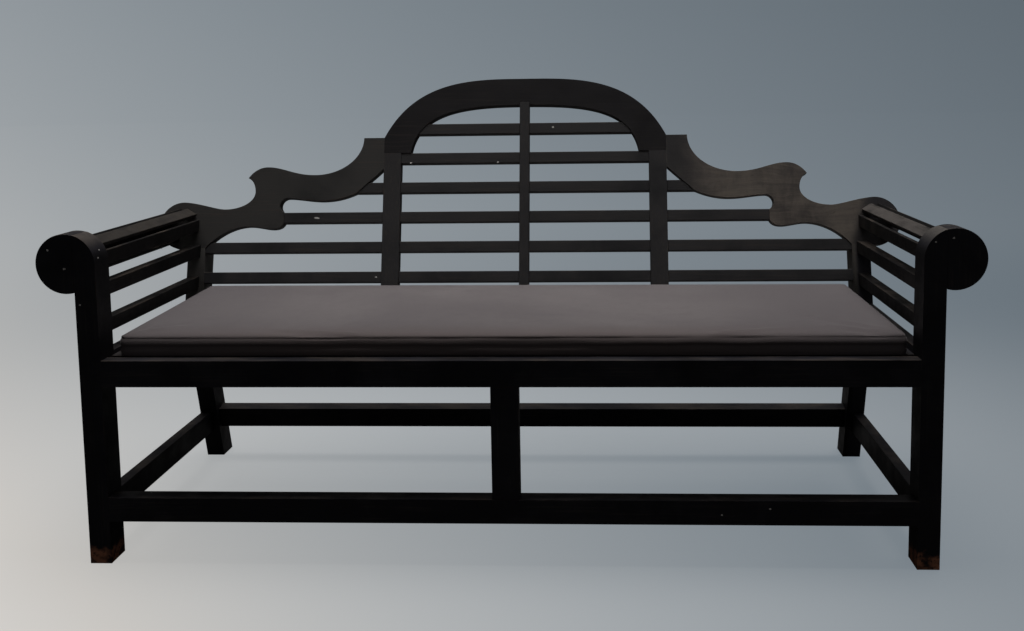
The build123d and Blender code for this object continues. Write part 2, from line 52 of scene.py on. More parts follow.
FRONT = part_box("front_seat_rail")[0].y            # front faces of rail and legs
ARM_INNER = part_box("arm_slat_upper_right")[0].x   # the right arm slats' faces towards the seat
ARRIS = 0.0016                                    # worn rounding along every sawn edge
WELD_WITHIN = 1e-5                                # points of the frame's meshes closer than this
FLAT_WITHIN = math.radians(0.6)                   # faces that count as one flat face
SHARP_FROM = math.radians(38)                     # edges sharper than this are rounded
BACK_RAKE = math.radians(16.0)                    # how far the back leans from upright

# --- small helpers for materials ----------------------------------------------------


class Nodes:
    """Short calls for one node tree."""

    def __init__(self, owner):
        owner.use_nodes = True
        self.tree = owner.node_tree
        self.tree.nodes.clear()

    def add(self, kind, **props):
        node = self.tree.nodes.new(kind)
        for key, value in props.items():
            setattr(node, key, value)
        return node

    def put(self, socket, value):
        """Links a socket to another node's output, or sets it to a number or colour."""
        if isinstance(value, bpy.types.NodeSocket):
            self.tree.links.new(value, socket)
        elif isinstance(value, tuple) and len(value) == 3 and socket.type == "RGBA":
            socket.default_value = (*value, 1.0)
        else:
            socket.default_value = value

    def coords(self):
        return self.add("ShaderNodeTexCoord").outputs["Object"]

    def normal(self):
        return self.add("ShaderNodeNewGeometry").outputs["Normal"]

    def split(self, vector):
        node = self.add("ShaderNodeSeparateXYZ")
        self.put(node.inputs[0], vector)
        return node.outputs

    def math(self, op, a, b=0.0, clamp=False):
        node = self.add("ShaderNodeMath", operation=op, use_clamp=clamp)
        self.put(node.inputs[0], a)
        self.put(node.inputs[1], b)
        return node.outputs[0]

    def scaled(self, vector, scale):
        node = self.add("ShaderNodeMapping")
        self.put(node.inputs["Vector"], vector)
        node.inputs["Scale"].default_value = scale
        return node.outputs[0]

    def noise(self, vector, scale=1.0, detail=4.0, rough=0.55, warp=0.0):
        node = self.add("ShaderNodeTexNoise")
        self.put(node.inputs["Vector"], vector)
        node.inputs["Scale"].default_value = scale
        node.inputs["Detail"].default_value = detail
        node.inputs["Roughness"].default_value = rough
        node.inputs["Distortion"].default_value = warp
        return node.outputs[0]

    def step(self, value, low, high, to_low=0.0, to_high=1.0):
        """A smooth step from to_low at low to to_high at high."""
        node = self.add("ShaderNodeMapRange", interpolation_type="SMOOTHSTEP")
        self.put(node.inputs["Value"], value)
        node.inputs["From Min"].default_value = low
        node.inputs["From Max"].default_value = high
        node.inputs["To Min"].default_value = to_low
        node.inputs["To Max"].default_value = to_high
        return node.outputs[0]

    def mix(self, factor, a, b):
        node = self.add("ShaderNodeMix", data_type="RGBA")
        self.put(node.inputs[0], factor)
        self.put(node.inputs[6], a)
        self.put(node.inputs[7], b)
        return node.outputs[2]

    def bump(self, height, distance, strength=1.0, normal=None):
        node = self.add("ShaderNodeBump")
        node.inputs["Strength"].default_value = strength
        node.inputs["Distance"].default_value = distance
        self.put(node.inputs["Height"], height)
        if normal is not None:
            self.put(node.inputs["Normal"], normal)
        return node.outputs[0]

    def edges(self, radius):
        """1 along edges that stand out, 0 on flat faces."""
        rounded = self.add("ShaderNodeBevel", samples=6)
        rounded.inputs["Radius"].default_value = radius
        dot = self.add("ShaderNodeVectorMath", operation="DOT_PRODUCT")
        self.put(dot.inputs[0], rounded.outputs[0])
        self.put(dot.inputs[1], self.normal())
        return self.math("SUBTRACT", 1.0, dot.outputs["Value"], clamp=True)

    def shader_mix(self, factor, a, b):
        node = self.add("ShaderNodeMixShader")
        self.put(node.inputs[0], factor)
        self.put(node.inputs[1], a)
        self.put(node.inputs[2], b)
        return node.outputs[0]


class Finish(Nodes):
    """A material's tree, with its surface shader."""

    def __init__(self, name):
        self.mat = bpy.data.materials.new(name)
        super().__init__(self.mat)
        self.out = self.add("ShaderNodeOutputMaterial")
        self.bsdf = self.add("ShaderNodeBsdfPrincipled")
        self.tree.links.new(self.bsdf.outputs[0], self.out.inputs["Surface"])

    def set(self, **values):
        """Sockets of the surface shader, by name, with _ for each space."""
        for key, value in values.items():
            self.put(self.bsdf.inputs[key.replace("_", " ")], value)


# --- painted wood -------------------------------------------------------------------


def stretched(across, along, finer=1.0):
    """Noise cells per metre for wood that runs along each axis."""
    a, b = finer * across, finer * along
    return {"x": (b, a, a), "y": (a, b, a), "z": (a, a, b)}


GRAIN_ACROSS, GRAIN_ALONG = 260.0, 7.0
BRUSH_FINER = 3.1           # brush marks, finer than the grain
BLOTCH_ACROSS, BLOTCH_ALONG = 34.0, 8.0
GRAIN_SCALE = stretched(GRAIN_ACROSS, GRAIN_ALONG)
BRUSH_SCALE = stretched(GRAIN_ACROSS, GRAIN_ALONG, BRUSH_FINER)
BLOTCH_SCALE = stretched(BLOTCH_ACROSS, BLOTCH_ALONG)
PATCH_SCALE = 5.5           # large cloudy patches
GLOSS_SCALE = 17.0          # patches of more and less gloss
BLACK_DARK, BLACK_LIGHT = (0.0080, 0.0078, 0.0102), (0.0172, 0.0168, 0.0208)
COAL_DARK, COAL_LIGHT = (0.018, 0.018, 0.0193), (0.033, 0.032, 0.033)
BARE_WOOD = (0.085, 0.055, 0.036)
# chalky dust, also the tone of the painted top light on upward faces
DUST_AND_TOP_LIGHT = (0.062, 0.051, 0.043)

# Each pair is where a tone sets in and where it is full, as a noise or a slope grows or falls.
# Where four numbers stand, the last two are its strength at those places.
PATCHED = (0.34, 0.66)
STREAKED = (0.50, 0.68)
STREAKED_PATCHES = (0.36, 0.62)
FACING_UP = (0.42, 0.92)
RUBBED = (0.03, 0.16)
RUBBED_BLOTCHES = (0.52, 0.66)
GLOSSY = (0.3, 0.7)
TOP_DUST_AND_LIGHT_BLEND = 0.30           # how softly the dust and painted top light set in
RUB_REACH = 0.0045          # how far rubbing reaches in from an edge
PALER_FROM = 0.40          # height from which the paint is paler
PALER_RISE = 0.35          # and by how much for each metre
RUB_DULLS = 0.3             # what rubbing adds to the roughness
PAINT_SHINE = 0.11
GRAIN_RELIEF = 0.7          # the grain's share of the relief; brush marks have the rest
PAINT_DEPTH, PAINT_RELIEF = 0.0007, 0.55

# the feet of the front legs
SHADED_FLANK = (0.88, 0.99, 0.0, 0.7)              # their faces that look along X, darkened with painted shade
FLANK_SHADE = (0.0022, 0.0022, 0.0025)
FOOT_WOOD = (0.27, 0.115, 0.066)
SCUFF_TOP, SCUFF_RAGGED = 0.016, 0.045      # how high the bare wood reaches, and how unevenly
RAGGED_SCALE, SPECK_SCALE, SCUFF_SCALE = 55.0, 130.0, 41.0
SPECKED = (0.30, 0.48)
SCUFFED = (0.36, 0.56, 0.15, 1.0)

# the rear posts are pale above the seat and black below it: painted light where more light reaches them,
# painted shade under the seat
POST_LIT_ABOVE_SEAT = (0.36, 0.47)
ARM_SHADE = (-0.008, 0.004)                 # the right post is black beyond the arm slats

# the right board: its grain is long along X and rises and falls with a slow drift
DRIFT_SCALE, DRIFT_BY = (3.0, 3.0, 7.0), 0.09
FIGURE_SCALE, PORE_SCALE = (5.0, 60.0, 120.0), (34.0, 300.0, 800.0)
BOARD_PATCH_SCALE, WIPE_SCALE = 7.5, (42.0, 10.0, 9.0)
BOARD_PATCHED, BARED = (0.36, 0.64), (0.40, 0.62)
FIGURE_SHARE, PATCH_SHARE, WIPE_SHARE = 0.35, 0.45, 0.20    # of what bares the board
BARE_FROM_X = (0.47, 0.60)                  # the board is bare from here outwards
COAL_TO_X = (0.44, 0.56, 0.85, 0.0)         # ... and as black as the back from here inwards
X_WANDER = 0.12                             # how far patches move those places
BARE_STRENGTH = 0.85
PORED, PORE_STRENGTH, PORE_BLACK = (0.55, 0.75), 0.40, (0.014, 0.012, 0.012)
BOARD_RUB_REACH, BOARD_RUBBED, BOARD_RUB_STRENGTH = 0.005, (0.42, 0.58), 0.45
BOARD_BARE_WOOD = (0.13, 0.105, 0.085)
SHELTER_SHADE_FROM, SHELTER_SHADE_BLEND = 0.625, 0.03   # beyond the arm's roll it has kept its black paint, and lies in the roll's painted shade
SHELTER_SHADE_LEAN, SHELTER_SHADE_STRENGTH = 0.35, 0.85
BOARD_ROUGH = (0.46, 0.64)
BOARD_FIGURE_RELIEF = 0.6
BOARD_DEPTH, BOARD_RELIEF = 0.0009, 0.6


def painted(name, grain, dark, light, chalk=0.25, wear=0.35, rough=(0.42, 0.60), part=None,
            top_dust_and_light=0.6, top_dust_and_light_from=0.40, top_dust_and_light_tone=DUST_AND_TOP_LIGHT):
    """Old black paint on wood: grain and brush marks, chalky patches, rubbed edges.

    grain is the axis that the wood runs along. Upward faces turn to top_dust_and_light_tone by up to
    top_dust_and_light, on more of the face the lower top_dust_and_light_from is: dust on their tops, and
    painted top light for the light that falls on them. part adds what only a leg or a post shows.
    """
    n = Finish(name)
    place = n.coords()
    lines = n.noise(n.scaled(place, GRAIN_SCALE[grain]), detail=6.0, rough=0.62, warp=0.25)
    brush = n.noise(n.scaled(place, BRUSH_SCALE[grain]), detail=3.0, rough=0.5)
    patches = n.noise(place, PATCH_SCALE, detail=5.0, rough=0.6, warp=0.4)
    blotches = n.noise(n.scaled(place, BLOTCH_SCALE[grain]), detail=4.0, rough=0.6)

    height = n.split(place)[2]
    paler_higher = n.math("MULTIPLY", n.math("SUBTRACT", height, PALER_FROM), PALER_RISE)
    tone = n.mix(n.step(n.math("ADD", patches, paler_higher), *PATCHED), dark, light)
    streaks = n.math("MULTIPLY", n.step(lines, *STREAKED), n.step(patches, *STREAKED_PATCHES))
    tone = n.mix(n.math("MULTIPLY", streaks, chalk, clamp=True), tone, DUST_AND_TOP_LIGHT)

    # painted top light: upward faces turn paler, partly dust and partly light from above painted in
    up = n.split(n.normal())[2]
    top_dust_and_light_mask = n.step(blotches, top_dust_and_light_from, top_dust_and_light_from + TOP_DUST_AND_LIGHT_BLEND)
    top_dust_and_light_mask = n.math("MULTIPLY", n.step(up, *FACING_UP), top_dust_and_light_mask)
    tone = n.mix(n.math("MULTIPLY", top_dust_and_light_mask, top_dust_and_light), tone, top_dust_and_light_tone)

    rubbed = n.step(n.edges(RUB_REACH), *RUBBED)
    worn = n.math("MULTIPLY", rubbed, n.step(blotches, *RUBBED_BLOTCHES))
    worn = n.math("MULTIPLY", worn, wear)
    tone = n.mix(worn, tone, BARE_WOOD)

    if part == "foot":
        tone = scuffed_foot(n, place, height, tone)
    # painted shade under the seat, painted light above it
    if part in ("post", "right_post"):
        tone = n.mix(n.step(height, *POST_LIT_ABOVE_SEAT), BLACK_DARK, tone)
    if part == "right_post":
        shade_from, shade_to = (ARM_INNER + v for v in ARM_SHADE)
        tone = n.mix(n.step(n.split(place)[0], shade_from, shade_to), tone, BLACK_LIGHT)

    shine = n.step(n.noise(place, GLOSS_SCALE, detail=3.0), *GLOSSY, *rough)
    relief = n.math(
        "ADD", n.math("MULTIPLY", lines, GRAIN_RELIEF), n.math("MULTIPLY", brush, 1.0 - GRAIN_RELIEF)
    )
    n.set(
        Base_Color=tone,
        Roughness=n.math("ADD", shine, n.math("MULTIPLY", worn, RUB_DULLS), clamp=True),
        Specular_IOR_Level=PAINT_SHINE,
        Normal=n.bump(relief, PAINT_DEPTH, PAINT_RELIEF),
    )
    return n.mat


def scuffed_foot(n, place, height, tone):
    """Painted shade on the side faces, and bare reddish wood where the foot's paint has come off."""
    flank_shade = n.step(n.math("ABSOLUTE", n.split(n.normal())[0]), *SHADED_FLANK)
    tone = n.mix(flank_shade, tone, FLANK_SHADE)
    lower = n.math("MULTIPLY", n.noise(place, RAGGED_SCALE), -SCUFF_RAGGED)
    scuffed = n.step(n.math("ADD", height, lower), SCUFF_TOP, 0.0)
    scuffed = n.math("MULTIPLY", scuffed, n.step(n.noise(place, SPECK_SCALE), *SPECKED))
    scuffed = n.math("MULTIPLY", scuffed, n.step(n.noise(place, SCUFF_SCALE), *SCUFFED))
    return n.mix(scuffed, tone, FOOT_WOOD)


def grained_board(name, dark, light, weathered):
    """The right shoulder board: paint weathered to grey-brown, with the grain standing out."""
    n = Finish(name)
    place = n.coords()
    drift = n.noise(n.scaled(place, DRIFT_SCALE))
    sway = n.add("ShaderNodeCombineXYZ")
    n.put(sway.inputs[2], n.math("MULTIPLY", drift, DRIFT_BY))
    bend = n.add("ShaderNodeVectorMath", operation="ADD")
    n.put(bend.inputs[0], place)
    n.put(bend.inputs[1], sway.outputs[0])
    figure = n.noise(n.scaled(bend.outputs[0], FIGURE_SCALE), detail=7.0, rough=0.7, warp=0.35)
    pores = n.noise(n.scaled(bend.outputs[0], PORE_SCALE), detail=3.0, rough=0.6)
    patches = n.noise(place, BOARD_PATCH_SCALE, detail=6.0, rough=0.62, warp=0.8)
    wipes = n.noise(n.scaled(place, WIPE_SCALE), detail=4.0, rough=0.6, warp=0.6)

    tone = n.mix(n.step(patches, *BOARD_PATCHED), dark, light)
    bare = n.math(
        "ADD", n.math("MULTIPLY", figure, FIGURE_SHARE), n.math("MULTIPLY", patches, PATCH_SHARE)
    )
    bare = n.step(n.math("ADD", bare, n.math("MULTIPLY", wipes, WIPE_SHARE)), *BARED)
    along = n.math("ADD", n.split(place)[0], n.math("MULTIPLY", patches, X_WANDER))
    bare = n.math("MULTIPLY", bare, n.step(along, *BARE_FROM_X))
    tone = n.mix(n.step(along, *COAL_TO_X), tone, COAL_DARK)
    tone = n.mix(n.math("MULTIPLY", bare, BARE_STRENGTH), tone, weathered)
    pored = n.math("MULTIPLY", n.step(pores, *PORED), PORE_STRENGTH)
    tone = n.mix(pored, tone, PORE_BLACK)
    rubbed = n.step(n.edges(BOARD_RUB_REACH), *RUBBED)
    rubbed = n.math("MULTIPLY", rubbed, n.step(patches, *BOARD_RUBBED))
    tone = n.mix(n.math("MULTIPLY", rubbed, BOARD_RUB_STRENGTH), tone, BOARD_BARE_WOOD)
    # painted shade from the arm's roll, on the part of the board that has also kept its black paint
    x, _, z = n.split(place)
    beyond = n.math("SUBTRACT", x, n.math("MULTIPLY", z, SHELTER_SHADE_LEAN))
    sheltered_and_shaded = n.step(beyond, SHELTER_SHADE_FROM, SHELTER_SHADE_FROM + SHELTER_SHADE_BLEND)
    tone = n.mix(n.math("MULTIPLY", sheltered_and_shaded, SHELTER_SHADE_STRENGTH), tone, BLACK_LIGHT)
    relief = n.math(
        "ADD",
        n.math("MULTIPLY", figure, BOARD_FIGURE_RELIEF),
        n.math("MULTIPLY", pores, 1.0 - BOARD_FIGURE_RELIEF),
    )
    n.set(
        Base_Color=tone,
        Roughness=n.step(patches, *GLOSSY, *BOARD_ROUGH),
        Specular_IOR_Level=0.25,
        Normal=n.bump(relief, BOARD_DEPTH, BOARD_RELIEF),
    )
    return n.mat


# the finishes: a dark and a light tone each, and for some the tone of the dust and painted top light on
# top of them
black = {g: painted(f"black_paint_{g}", g, BLACK_DARK, BLACK_LIGHT) for g in "xyz"}
black_foot = {
    side: painted(
        f"black_paint_{side}_leg", "z", BLACK_DARK, BLACK_LIGHT, part="foot", top_dust_and_light=0.95,
        top_dust_and_light_from=top_dust_and_light_from, top_dust_and_light_tone=top_dust_and_light_tone
    )
    for side, top_dust_and_light_from, top_dust_and_light_tone in (
        ("left", 0.22, (0.070, 0.060, 0.053)), ("right", 0.10, (0.080, 0.073, 0.067))
    )
}
# painted shade: a darker copy of the black paint for the arm and roll slats, whose side faces lie in
# shade
arm_shaded_black = painted(
    "arm_shaded_black", "y", (0.0035, 0.0033, 0.0036), (0.0072, 0.0067, 0.0070),
    chalk=0.1, wear=0.6, top_dust_and_light=0.7
)
# the rear posts' pale tones are painted light; below the seat they turn black as painted shade
post_black = {
    "left": painted("left_post", "z", (0.060, 0.058, 0.055), (0.085, 0.081, 0.076), part="post"),
    "right": painted(
        "right_post", "z", (0.050, 0.047, 0.044), (0.072, 0.067, 0.062), part="right_post"
    ),
}
# the arms' top slats: worn paint, their paler tops partly painted top light
roll_black = {
    side: painted(
        f"{side}_roll_worn_top_lit", "y", (0.0075, 0.0070, 0.0072), (0.020, 0.018, 0.017),
        chalk=0.5, wear=0.6, top_dust_and_light=0.95, top_dust_and_light_from=top_dust_and_light_from, top_dust_and_light_tone=top_dust_and_light_tone
    )
    for side, top_dust_and_light_from, top_dust_and_light_tone in (
        ("left", 0.30, (0.034, 0.0295, 0.0255)), ("right", 0.24, (0.068, 0.061, 0.0565))
    )
}
coal = {
    g: painted(f"weathered_black_{g}", g, COAL_DARK, COAL_LIGHT, chalk=0.45, wear=0.45)
    for g in "xz"
}
arch_black = painted(
    "arch_black", "x", (0.0100, 0.0093, 0.0102), (0.0150, 0.0140, 0.0150), chalk=0.22
)
scroll_left = painted(
    "left_board_black", "x", (0.027, 0.0265, 0.026), (0.042, 0.0405, 0.039), chalk=0.6, wear=0.5
)
scroll_right = grained_board(
    "right_board_weathered", (0.050, 0.043, 0.040), (0.072, 0.062, 0.056), (0.125, 0.107, 0.088)
)
screw_metal = painted(
    "painted_screws", "z", BLACK_DARK, (0.05, 0.05, 0.05), chalk=0.3, wear=0.6, rough=(0.3, 0.5)
)


def finish_for(name):
    """The material of each of the frame's nodes."""
    if name == "back_scroll_right":
        return scroll_right
    if name == "back_scroll_left":
        return scroll_left
    if name == "crest_arch":
        return arch_black
    side = name.rsplit("_", 1)[-1]
    if name.startswith("front_leg"):
        return black_foot[side]
    if name.startswith("back_slat"):
        return coal["x"]
    if name.startswith("back_stile"):
        return coal["z"]
    if name.endswith("screws"):
        return screw_metal
    if name.startswith("rear_leg"):
        return post_black[side]
    if name.startswith("roll_slat_2"):     # the top slat of an arm, bleached by the weather, its top paler still with painted top light
        return roll_black[side]
    if name.startswith(("roll_slat", "arm_slat")):
        return arm_shaded_black
    if name.startswith(("centre_strut", "arm_cheek", "crest_dowels")):
        return black["z"]
    if name.startswith(("side_", "seat_bearer", "seat_cleat", "tenon")):
        return black["y"]
    return black["x"]


def ease_edges(obj):
    """Merged faces, rounded arrises and even shading, as modifiers on the fixed mesh."""
    weld = obj.modifiers.new("weld", "WELD")
    weld.merge_threshold = WELD_WITHIN
    flat = obj.modifiers.new("flat_faces", "DECIMATE")
    flat.decimate_type = "DISSOLVE"
    flat.angle_limit = FLAT_WITHIN
    bevel = obj.modifiers.new("arris", "BEVEL")
    bevel.width = ARRIS
    bevel.segments = 3
    bevel.limit_method = "ANGLE"
    bevel.angle_limit = SHARP_FROM
    bevel.use_clamp_overlap = True
    shade = obj.modifiers.new("even_shading", "WEIGHTED_NORMAL")
    shade.weight = 100


painted_pieces = {name: obj for name, obj in NODES.items() if name != "seat_cushion"}

for name, obj in painted_pieces.items():
    obj.data.materials.clear()
    obj.data.materials.append(finish_for(name))
    if not name.endswith(("screws", "pegs", "dowels")):
        ease_edges(obj)

# --- camera -------------------------------------------------------------------------

CAMERA_AT = Vector((0.2063, FRONT - 2.2109, 0.9947))
PITCH, YAW, TILT = math.radians(6.25), math.radians(-2.85), math.radians(-0.77)
IMAGE_W, IMAGE_H = 1024, 631            # the picture, in pixels
FOCAL_PX, AXIS_PX = 1099.9, (548.1, 210.7)   # the lens, and where its axis meets the picture
SENSOR = 36.0                           # mm


def make_camera():
    """Sets the camera up and returns the rotation that takes its axes to the world's."""
    data = bpy.data.cameras.new("camera")
    cam = bpy.data.objects.new("camera", data)
    scene.collection.objects.link(cam)
    ahead = Vector((
        math.sin(YAW) * math.cos(PITCH), math.cos(YAW) * math.cos(PITCH), -math.sin(PITCH)
    ))
    level = Vector((math.cos(YAW), -math.sin(YAW), 0.0))
    above = level.cross(ahead)
    right = level * math.cos(TILT) + above * math.sin(TILT)
    up = above * math.cos(TILT) - level * math.sin(TILT)
    turn = Matrix((right, up, -ahead)).transposed()
    cam.matrix_world = Matrix.Translation(CAMERA_AT) @ turn.to_4x4()
    data.sensor_width = SENSOR
    data.lens = FOCAL_PX / IMAGE_W * data.sensor_width
    data.shift_x = (IMAGE_W / 2 - AXIS_PX[0]) / IMAGE_W
    data.shift_y = (AXIS_PX[1] - IMAGE_H / 2) / IMAGE_W
    scene.camera = cam
    return turn


# --- chips of the paint, down to a pale primer ---------------------------------------

# where they show on the camera's picture, in pixels, and their half length and half width, in m
CHIPS = (
    (47.5, 250.5, 0.0034, 0.0026), (64.0, 269.0, 0.0036, 0.0026), (80.0, 305.0, 0.0030, 0.0026),
    (99.0, 250.0, 0.0030, 0.0022), (98.0, 258.0, 0.0026, 0.0022), (162.0, 248.0, 0.0036, 0.0030),
    (317.0, 218.0, 0.0085, 0.0030), (376.0, 277.0, 0.0036, 0.0030), (411.0, 163.0, 0.0036, 0.0028),
    (498.0, 162.0, 0.0036, 0.0028), (553.0, 127.0, 0.0036, 0.0028), (936.0, 242.0, 0.0030, 0.0024),
    (954.0, 238.0, 0.0032, 0.0026), (722.0, 515.0, 0.0026, 0.0022), (770.0, 509.0, 0.0026, 0.0022),
    (247.5, 359.5, 0.0030, 0.0016), (329.0, 358.5, 0.0026, 0.0014), (700.0, 359.2, 0.0070, 0.0015),
)
CHIP_CORNERS = 11
CHIP_SMALLEST = 0.6         # how far a ragged corner may draw in
CHIP_THICK = 0.0003         # half its thickness
CHIP_SEED = 7
GRIME_SCALE, GRIMY = 420.0, (0.38, 0.62)
PRIMER_DARK, PRIMER_LIGHT = (0.30, 0.285, 0.265), (0.58, 0.57, 0.55)


def chip_paint():
    n = Finish("chipped_primer")
    grime = n.noise(n.coords(), GRIME_SCALE, detail=4.0, rough=0.6)
    n.set(
        Base_Color=n.mix(n.step(grime, *GRIMY), PRIMER_DARK, PRIMER_LIGHT),
        Roughness=n.step(grime, *GLOSSY, 0.70, 0.85),
        Specular_IOR_Level=0.2,
        Normal=n.bump(grime, distance=0.0003, strength=0.5),
    )
    return n.mat


def chip_the_paint(turn):
    """Thin flakes of bared primer, laid on whatever surface the camera meets there."""
    dg = bpy.context.evaluated_depsgraph_get()
    rng = random.Random(CHIP_SEED)
    bm = bmesh.new()
    for px, py, long, short in CHIPS:
        ray = turn @ Vector(((px - AXIS_PX[0]) / FOCAL_PX, (AXIS_PX[1] - py) / FOCAL_PX, -1.0))
        found, at, normal, _, obj, _ = scene.ray_cast(dg, CAMERA_AT, ray.normalized())
        if not found or obj not in painted_pieces.values():
            continue
        along = normal.cross(Vector((0.0, 0.0, 1.0))).normalized()
        up = along.cross(normal)
        outline = []
        for k in range(CHIP_CORNERS):
            a = 2 * math.pi * k / CHIP_CORNERS
            ragged = CHIP_SMALLEST + (1.0 - CHIP_SMALLEST) * rng.random()
            outline.append((along * long * math.cos(a) + up * short * math.sin(a)) * ragged)
        inner = [bm.verts.new(at + p - normal * CHIP_THICK) for p in outline]
        outer = [bm.verts.new(at + p + normal * CHIP_THICK) for p in outline]
        bm.faces.new(outer)
        bm.faces.new(reversed(inner))
        for k in range(CHIP_CORNERS):
            nxt = (k + 1) % CHIP_CORNERS
            bm.faces.new((outer[k], inner[k], inner[nxt], outer[nxt]))
    bmesh.ops.recalc_face_normals(bm, faces=bm.faces)
    mesh = bpy.data.meshes.new("paint_chips")
    bm.to_mesh(mesh)
    bm.free()
    chips = bpy.data.objects.new("paint_chips", mesh)
    scene.collection.objects.link(chips)
    mesh.materials.append(chip_paint())
    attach(chips, "frame")


chip_the_paint(make_camera())

# --- light, floor and background ------------------------------------------------------

# a wide softbox with a grid, so that its light comes down rather than sideways
SOFTBOX_AT, SOFTBOX_AIM = Vector((0.05, 0.36, 3.0)), Vector((0.05, 0.34, 0.0))
SOFTBOX_SIZE = (3.8, 2.0)
SOFTBOX_POWER, SOFTBOX_COLOUR = 33.0, (1.0, 0.985, 0.975)
SOFTBOX_SPREAD = math.radians(76)
AMBIENT, AMBIENT_COLOUR = 0.16, (0.55, 0.54, 0.54)

# the backdrop is palest at the lower left and darkens to the right and upwards
SHADE_MID, SHADE_ACROSS = 0.197, -0.835     # its shade in the middle, and its fall to the right
SHADE_HORIZON, SHADE_NEAR = 1.10, 1.75      # factors at the horizon and towards the camera
SHADE_RISE, SHADE_TOP = 1.2, 0.6            # fall of the factor with height, and its least
SHADE_TURN = 0.3                            # keeps the slope across the view finite at the sides
SHADE_FROM_Y, SHADE_MIN_REACH = -2.6, 1.7   # where the floor's shade is measured from
SHADE_DARKEST, SHADE_PALEST = 0.115, 0.60
COOL_AT, WARM_AT = 0.136, 0.54
COOL, WARM = (0.81, 1.0, 1.17), (1.03, 1.0, 0.955)

FLOOR_RADIUS, FLOOR_SIDES = 40.0, 96
FLOOR_PAINT = (0.10, 0.099, 0.097)
FLOOR_LIT = (0.050, 0.050, 0.049)           # what the lamp adds to the floor near the object
FLOOR_FADE = (1.2, 6.5)                     # the floor turns into the backdrop between these radii


def hang_softbox():
    data = bpy.data.lights.new("overhead", "AREA")
    data.shape = "RECTANGLE"
    data.size, data.size_y = SOFTBOX_SIZE
    data.energy = SOFTBOX_POWER
    data.spread = SOFTBOX_SPREAD
    data.color = SOFTBOX_COLOUR
    lamp = bpy.data.objects.new("overhead", data)
    lamp.location = SOFTBOX_AT
    lamp.rotation_euler = (SOFTBOX_AIM - SOFTBOX_AT).to_track_quat("-Z", "Y").to_euler()
    scene.collection.objects.link(lamp)


def backdrop(n, across, rise):
    """The backdrop's colour for a slope across the view and a factor for height."""
    shade = n.math("EXPONENT", n.math("MULTIPLY", across, SHADE_ACROSS))
    shade = n.math("MULTIPLY", n.math("MULTIPLY", shade, SHADE_MID), rise)
    shade = n.math("MINIMUM", n.math("MAXIMUM", shade, SHADE_DARKEST), SHADE_PALEST)
    tint = n.add("ShaderNodeMix", data_type="RGBA")
    span = n.add("ShaderNodeMapRange")
    n.put(span.inputs["Value"], shade)
    span.inputs["From Min"].default_value = COOL_AT
    span.inputs["From Max"].default_value = WARM_AT
    n.put(tint.inputs[0], span.outputs[0])
    n.put(tint.inputs[6], COOL)
    n.put(tint.inputs[7], WARM)
    colour = n.add("ShaderNodeVectorMath", operation="SCALE")
    n.put(colour.inputs[0], tint.outputs[2])
    n.put(colour.inputs["Scale"], shade)
    return colour.outputs[0]


def make_world():
    """Even soft light on the object, with the backdrop shown to the camera alone."""
    world = bpy.data.worlds.new("studio")
    scene.world = world
    n = Nodes(world)
    x, y, z = n.split(n.add("ShaderNodeTexCoord").outputs["Generated"])
    across = n.math("DIVIDE", x, n.math("MAXIMUM", n.math("ABSOLUTE", y), SHADE_TURN))
    rise = n.math("SUBTRACT", SHADE_HORIZON, n.math("MULTIPLY", z, SHADE_RISE))
    shown = n.add("ShaderNodeBackground")
    n.put(shown.inputs["Color"], backdrop(n, across, n.math("MAXIMUM", rise, SHADE_TOP)))
    ambient = n.add("ShaderNodeBackground")
    n.put(ambient.inputs["Color"], AMBIENT_COLOUR)
    n.put(ambient.inputs["Strength"], AMBIENT)
    seen = n.add("ShaderNodeLightPath").outputs["Is Camera Ray"]
    out = n.add("ShaderNodeOutputWorld")
    n.put(out.inputs["Surface"], n.shader_mix(seen, ambient.outputs[0], shown.outputs[0]))


def make_floor():
    """A pale floor that keeps the object's shadow and runs into the backdrop."""
    bm = bmesh.new()
    bmesh.ops.create_circle(
        bm, cap_ends=True, cap_tris=True, segments=FLOOR_SIDES, radius=FLOOR_RADIUS
    )
    mesh = bpy.data.meshes.new("floor")
    bm.to_mesh(mesh)
    bm.free()
    floor = bpy.data.objects.new("floor", mesh)
    scene.collection.objects.link(floor)
    n = Finish("floor_paint")
    x, y, _ = n.split(n.coords())
    reach = n.math("ABSOLUTE", n.math("SUBTRACT", y, SHADE_FROM_Y))
    reach = n.math("MAXIMUM", reach, SHADE_MIN_REACH)
    rise = n.math("ADD", n.math("DIVIDE", SHADE_NEAR, reach), SHADE_HORIZON)
    pale = backdrop(n, n.math("DIVIDE", x, reach), rise)
    far = n.math("SQRT", n.math("ADD", n.math("MULTIPLY", x, x), n.math("MULTIPLY", y, y)))
    fade = n.step(far, *FLOOR_FADE)
    n.set(Base_Color=FLOOR_PAINT, Roughness=0.85, Specular_IOR_Level=0.2)
    under = n.add("ShaderNodeVectorMath", operation="SUBTRACT")
    n.put(under.inputs[0], pale)
    under.inputs[1].default_value = FLOOR_LIT
    glow, edge = n.add("ShaderNodeEmission"), n.add("ShaderNodeEmission")
    n.put(glow.inputs["Color"], under.outputs[0])
    n.put(edge.inputs["Color"], pale)
    lit = n.add("ShaderNodeAddShader")
    n.put(lit.inputs[0], n.bsdf.outputs[0])
    n.put(lit.inputs[1], glow.outputs[0])
    shown = n.shader_mix(fade, lit.outputs[0], edge.outputs[0])
    seen = n.add("ShaderNodeLightPath").outputs["Is Camera Ray"]
    n.put(n.out.inputs["Surface"], n.shader_mix(seen, n.bsdf.outputs[0], shown))
    mesh.materials.append(n.mat)


hang_softbox()
make_world()
make_floor()

# --- cushion ------------------------------------------------------------------------

